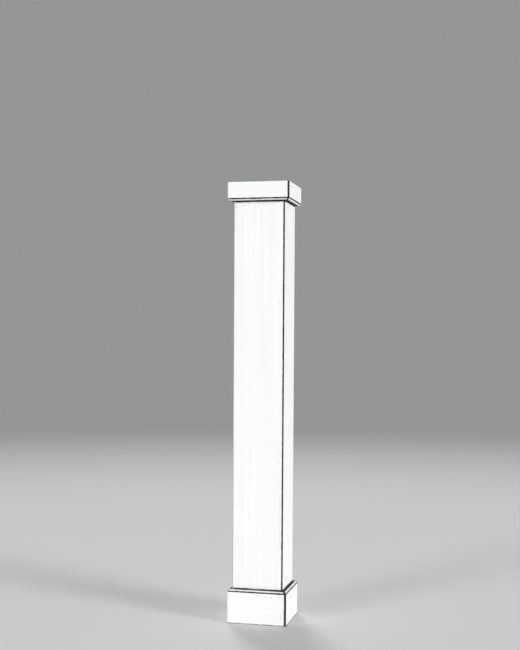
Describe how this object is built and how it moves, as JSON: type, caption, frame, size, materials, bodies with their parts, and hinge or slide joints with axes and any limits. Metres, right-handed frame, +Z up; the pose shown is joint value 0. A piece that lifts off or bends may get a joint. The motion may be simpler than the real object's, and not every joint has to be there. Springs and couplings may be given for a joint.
{
  "type": "pvc column",
  "caption": "Square hollow porch column of white PVC board, with a tall chamfered base collar and a shallower chamfered cap collar; it stands round a structural post.",
  "frame": {"origin": "on the floor, at the centre of the column's square foot", "axes": "+Z up along the column, +Y from the front board to the back board, +X to the right board"},
  "size_m": [0.3466, 0.3466, 2.438],
  "materials": {
    "shaft_pvc": "satin",
    "base_pvc": "satin",
    "cap_pvc": "satin"
  },
  "bodies": {
    "root": {"shaft_board_front": "shaft_pvc", "shaft_board_right": "shaft_pvc", "shaft_board_back": "shaft_pvc", "shaft_board_left": "shaft_pvc", "base_board_front": "base_pvc", "base_board_right": "base_pvc", "base_board_back": "base_pvc", "base_board_left": "base_pvc", "cap_board_front": "cap_pvc", "cap_board_right": "cap_pvc", "cap_board_back": "cap_pvc", "cap_board_left": "cap_pvc"}
  },
  "joints": []
}
